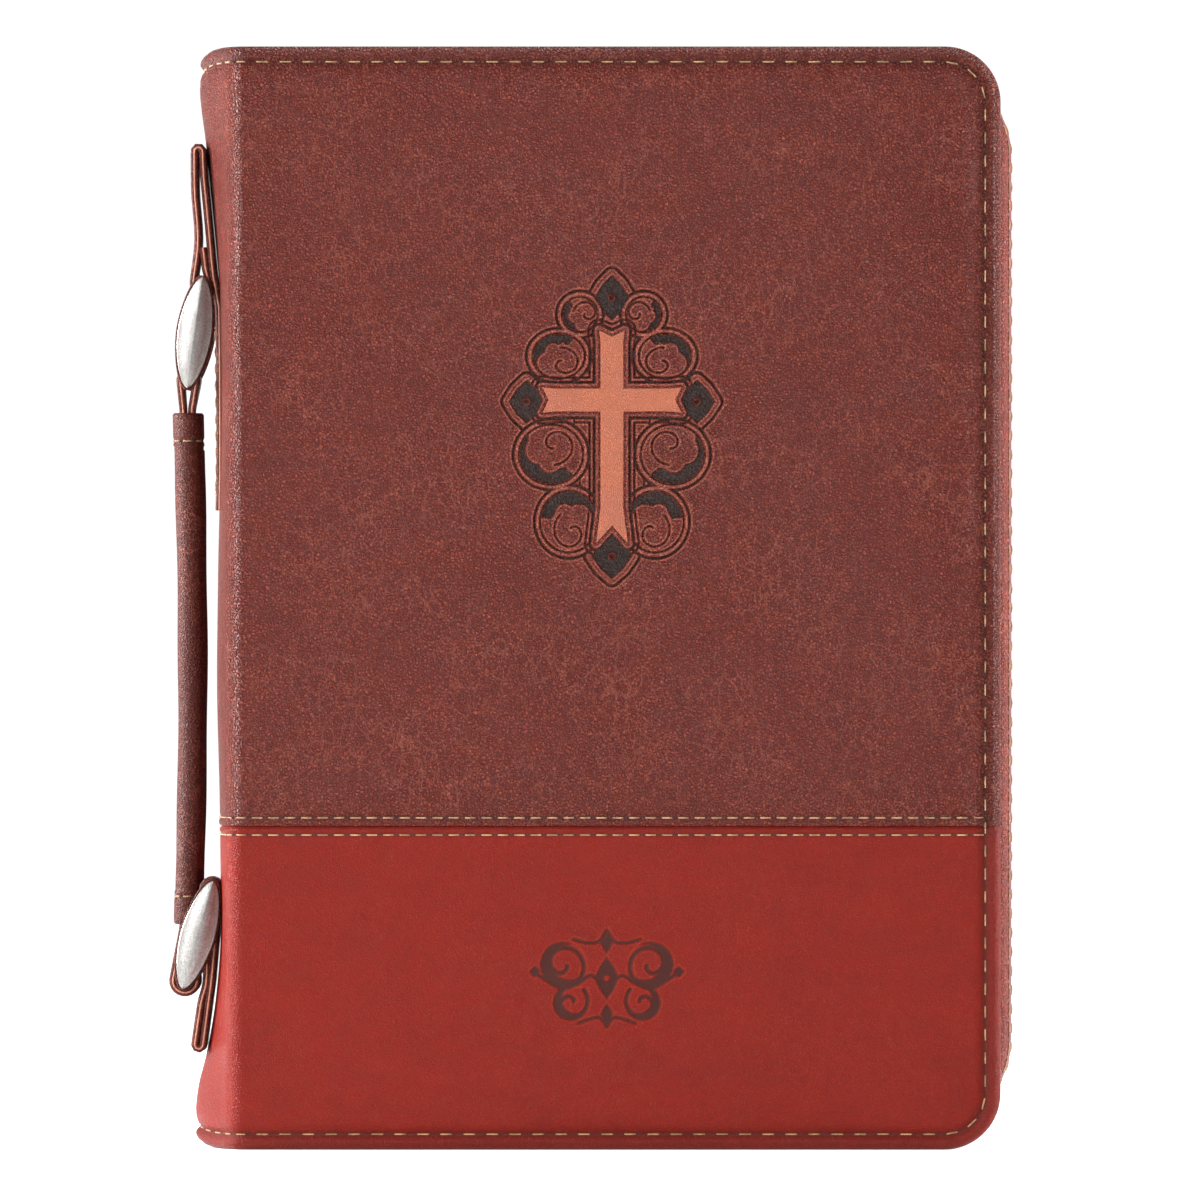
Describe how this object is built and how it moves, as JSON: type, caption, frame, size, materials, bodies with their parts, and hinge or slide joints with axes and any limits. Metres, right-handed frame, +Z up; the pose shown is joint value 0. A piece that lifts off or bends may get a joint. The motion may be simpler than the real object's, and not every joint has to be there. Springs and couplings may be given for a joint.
{
  "type": "bible in a zip-around carrying case",
  "caption": "Bible in a two-tone leather zip-around case with an inlaid cross on the front cover and a rolled carry handle hung from two metal links on the spine.",
  "frame": {"origin": "on the resting plane, under the middle of the closed case's box (handle included)", "axes": "+Z up along the case's height; +X from the spine and handle towards the zipped fore-edge; -Y is the front cover with the cross"},
  "size_m": [0.2106, 0.052, 0.276],
  "materials": {
    "panel_leather": "crinkled fine pebble grain, satin",
    "band_leather": "smooth fine grain, satin",
    "gusset_leather": "fine grain, satin",
    "strap_leather": "smooth, satin, copper-brown cut edges",
    "inlay_leather": "smooth tan, satin",
    "foam": "soft foam, matte",
    "board": "grey board, matte",
    "lining": "woven cloth, matte",
    "sleeve_leather": "thin leather, satin",
    "zip_tape": "woven tape, matte",
    "zip_coil": "moulded coil, satin",
    "old_silver": "antique silver, softly worn",
    "bible_cover": "black grained bonded leather",
    "paper": "thin leaves, matte edges",
    "ribbon": "satin ribbon",
    "thread": "waxed tan thread"
  },
  "bodies": {
    "case_back": {"back_upper_panel": "panel_leather", "back_lower_band": "band_leather", "back_foam": "foam", "back_board": "board", "back_lining": "lining", "back_sleeve": "sleeve_leather", "back_gusset": "gusset_leather", "zip_tape_back": "zip_tape", "zip_coil_back": "zip_coil", "zip_stops_back": "old_silver", "bible_back_cover": "bible_cover", "bible_back_leaves": "paper", "back_headbands": "thread", "ribbon_marker": "ribbon"},
    "case_spine": {"spine_upper_panel": "panel_leather", "spine_lower_band": "band_leather", "spine_board": "board", "spine_lining": "lining", "bible_spine": "bible_cover", "upper_anchor_strap": "strap_leather", "lower_anchor_strap": "strap_leather"},
    "case_front": {"front_upper_panel": "panel_leather", "front_lower_band": "band_leather", "front_foam": "foam", "front_board": "board", "front_lining": "lining", "front_sleeve": "sleeve_leather", "front_gusset": "gusset_leather", "zip_tape_front": "zip_tape", "zip_coil_front": "zip_coil", "zip_stops_front": "old_silver", "bible_front_cover": "bible_cover", "cross_inlay": "inlay_leather"},
    "leaves": {"bible_front_leaves": "paper", "front_headbands": "thread"},
    "zip_slider": {"slider_body": "old_silver", "pull_pin": "old_silver"},
    "zip_pull": {"pull_tab": "old_silver", "pull_leather": "strap_leather"},
    "upper_link": {"upper_handle_link": "old_silver", "upper_link_backing": "strap_leather"},
    "grip": {"grip_core": "board", "grip_sleeve": "strap_leather", "grip_upper_strap": "strap_leather", "grip_lower_strap": "strap_leather"},
    "lower_link": {"lower_handle_link": "old_silver", "lower_link_backing": "strap_leather"}
  },
  "joints": [
    {"name": "spine_fold", "type": "hinge", "parent": "case_back", "child": "case_spine", "pos_m": [-0.091, 0.026, 0], "axis": [0, 0, -1], "range_deg": [0, 90]},
    {"name": "front_fold", "type": "hinge", "parent": "case_spine", "child": "case_front", "pos_m": [-0.091, -0.026, 0], "axis": [0, 0, -1], "range_deg": [0, 90]},
    {"name": "leaves_turn", "type": "hinge", "parent": "case_back", "child": "leaves", "pos_m": [-0.084, 0, 0], "axis": [0, 0, -1], "range_deg": [0, 180]},
    {"name": "zip_slide", "type": "slide", "parent": "case_back", "child": "zip_slider", "axis": [1, 0, 0], "range_m": [0, 0.145]},
    {"name": "pull_flip", "type": "hinge", "parent": "zip_slider", "child": "zip_pull", "pos_m": [-0.07, 0, 0.2742], "axis": [0, -1, 0], "range_deg": [0, 150]},
    {"name": "handle_swing", "type": "hinge", "parent": "case_spine", "child": "upper_link", "pos_m": [-0.098, 0, 0.2165], "axis": [0, 1, 0], "range_deg": [0, 80]},
    {"name": "grip_swing", "type": "hinge", "parent": "upper_link", "child": "grip", "pos_m": [-0.10134, 0, 0.19273], "axis": [0, 1, 0], "range_deg": [-82, 0]},
    {"name": "lower_link_swing", "type": "hinge", "parent": "case_spine", "child": "lower_link", "pos_m": [-0.0956, 0, 0.065], "axis": [0, 1, 0], "range_deg": [0, 73]}
  ],
  "couplings": [
    {"joint": "front_fold", "follows": "spine_fold", "ratio": 1},
    {"joint": "leaves_turn", "follows": "spine_fold", "ratio": 2},
    {"joint": "grip_swing", "follows": "handle_swing", "ratio": -1.0175},
    {"joint": "lower_link_swing", "follows": "handle_swing", "ratio": 0.905}
  ]
}
